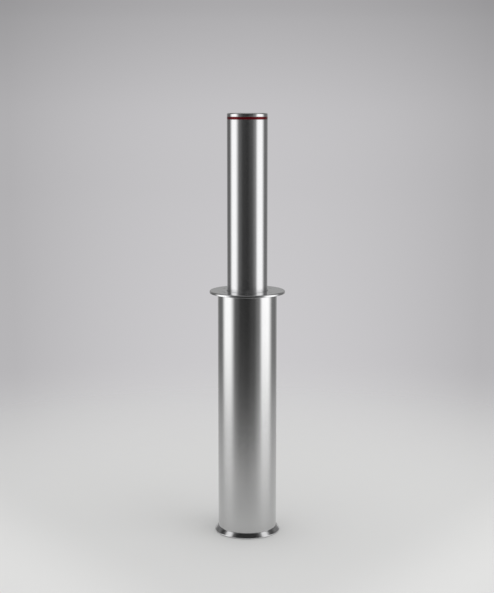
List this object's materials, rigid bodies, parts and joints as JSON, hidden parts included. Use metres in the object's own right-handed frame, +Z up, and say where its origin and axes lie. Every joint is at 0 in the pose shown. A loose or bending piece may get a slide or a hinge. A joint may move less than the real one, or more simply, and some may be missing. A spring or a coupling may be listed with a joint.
{
  "type": "semi-automatic bollard",
  "caption": "Slim stainless steel bollard that rises out of a sunk round casing with a flat collar, with a red band below its cap and a key lock in the cap.",
  "frame": {"origin": "middle of the base ring's underside, on the axis of the casing and the rising tube", "axes": "+Z up along the casing, +Y towards the lock rail and the key's side of the cap, +X to the right seen from the front"},
  "size_m": [0.2151, 0.215, 1.208],
  "materials": {
    "shaft_steel": "satin stainless steel, ground round the tube",
    "casing_steel": "satin stainless steel, ground round the tube",
    "turned_steel": "turned stainless steel with fine rings",
    "screw_steel": "bright stainless steel",
    "plain_steel": "plain machined steel",
    "zinc_steel": "zinc-plated steel",
    "rod_chrome": "polished hard chrome",
    "black_paint": "gloss black paint",
    "carriage_aluminium": "machined aluminium",
    "barrel_brass": "machined brass",
    "red_band": "deep red reflecting film, glossy",
    "black_rubber": "matte black rubber",
    "guide_plastic": "natural acetal",
    "drain_plastic": "dark grey pipe socket"
  },
  "bodies": {
    "casing": {"casing_tube": "casing_steel", "base_ring": "turned_steel", "base_plate": "plain_steel", "drain_socket": "drain_plastic", "end_buffers": "black_rubber", "guide_rail": "plain_steel", "lock_rail": "plain_steel", "mount_ring": "plain_steel", "guide_sleeve": "plain_steel", "guide_bush": "guide_plastic", "wiper_seal": "black_rubber", "collar_plate": "turned_steel", "collar_screws": "screw_steel", "lower_clevis": "zinc_steel", "lower_clevis_pin": "zinc_steel", "gas_rod_eye": "zinc_steel", "gas_rod": "rod_chrome", "gas_piston": "zinc_steel"},
    "shaft": {"shaft_tube": "shaft_steel", "head_cap": "turned_steel", "reflecting_band": "red_band", "cap_screws": "screw_steel", "head_plate": "plain_steel", "upper_clevis": "zinc_steel", "upper_clevis_pin": "zinc_steel", "gas_cylinder_eye": "zinc_steel", "gas_cylinder": "black_paint", "gas_gland": "zinc_steel", "carriage_ring": "carriage_aluminium", "guide_pads": "guide_plastic", "pad_screws": "screw_steel", "carriage_screws": "screw_steel", "stop_bumper": "black_rubber", "shaft_base": "plain_steel", "latch_housing": "carriage_aluminium", "latch_cover": "plain_steel", "latch_screws": "screw_steel"},
    "key_spindle": {"key_barrel": "barrel_brass", "barrel_clip": "zinc_steel", "lock_rod": "plain_steel", "coupling_pin": "zinc_steel", "lock_pinion": "barrel_brass"},
    "latch": {"latch_bolt": "plain_steel"}
  },
  "joints": [
    {"name": "bollard_lift", "type": "slide", "parent": "casing", "child": "shaft", "axis": [0, 0, 1], "range_m": [-0.5, 0], "stiffness_N_per_m": 180, "springref_m": 1.667},
    {"name": "key_turn", "type": "hinge", "parent": "shaft", "child": "key_spindle", "pos_m": [-0.011, 0.03163, 1.1], "axis": [0, 0, 1], "range_deg": [0, 90]},
    {"name": "bolt_slide", "type": "slide", "parent": "shaft", "child": "latch", "axis": [0, 1, 0], "range_m": [0, 0.0095]}
  ],
  "couplings": [
    {"joint": "bolt_slide", "follows": "key_turn", "m_per_rad": 0.006}
  ]
}
